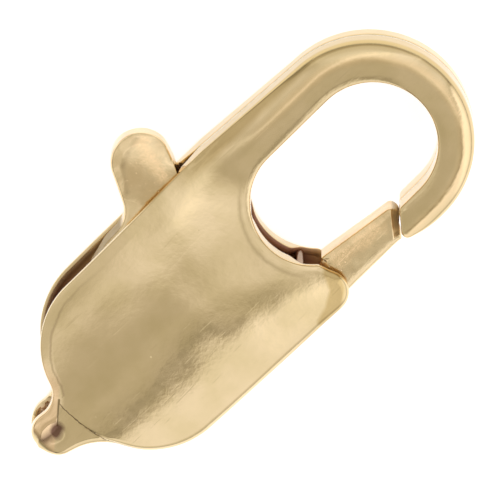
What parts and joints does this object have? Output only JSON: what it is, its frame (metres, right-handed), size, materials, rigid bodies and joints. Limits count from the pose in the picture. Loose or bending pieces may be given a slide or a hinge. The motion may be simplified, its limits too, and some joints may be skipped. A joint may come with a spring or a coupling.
{
  "type": "lobster clasp",
  "caption": "Gold lobster clasp with a puffed hollow body, a rounded hook, a sprung lever with a thumb tab, and a tail eye for a jump ring.",
  "frame": {"origin": "middle of the bounding box, on the plane that the back dome's top rests on", "axes": "+X along the clasp from the tail eye to the hook, +Y across it toward the thumb tab, +Z out of the front"},
  "size_m": [0.0248, 0.0124, 0.0045],
  "materials": {
    "gold": "polished",
    "pale_gold": "satin",
    "pin_metal": "satin"
  },
  "bodies": {
    "shell": {"body": "gold", "pivot_pin": "pin_metal", "stop_post": "gold"},
    "lever": {"lever": "pale_gold"}
  },
  "joints": [
    {"name": "lever_pivot", "type": "hinge", "parent": "shell", "child": "lever", "pos_m": [0.00084, -0.00476, 0.00225], "axis": [0, 0, 1], "range_deg": [0, 22], "stiffness_Nm_per_rad": 0.004, "springref_deg": -20.05}
  ]
}
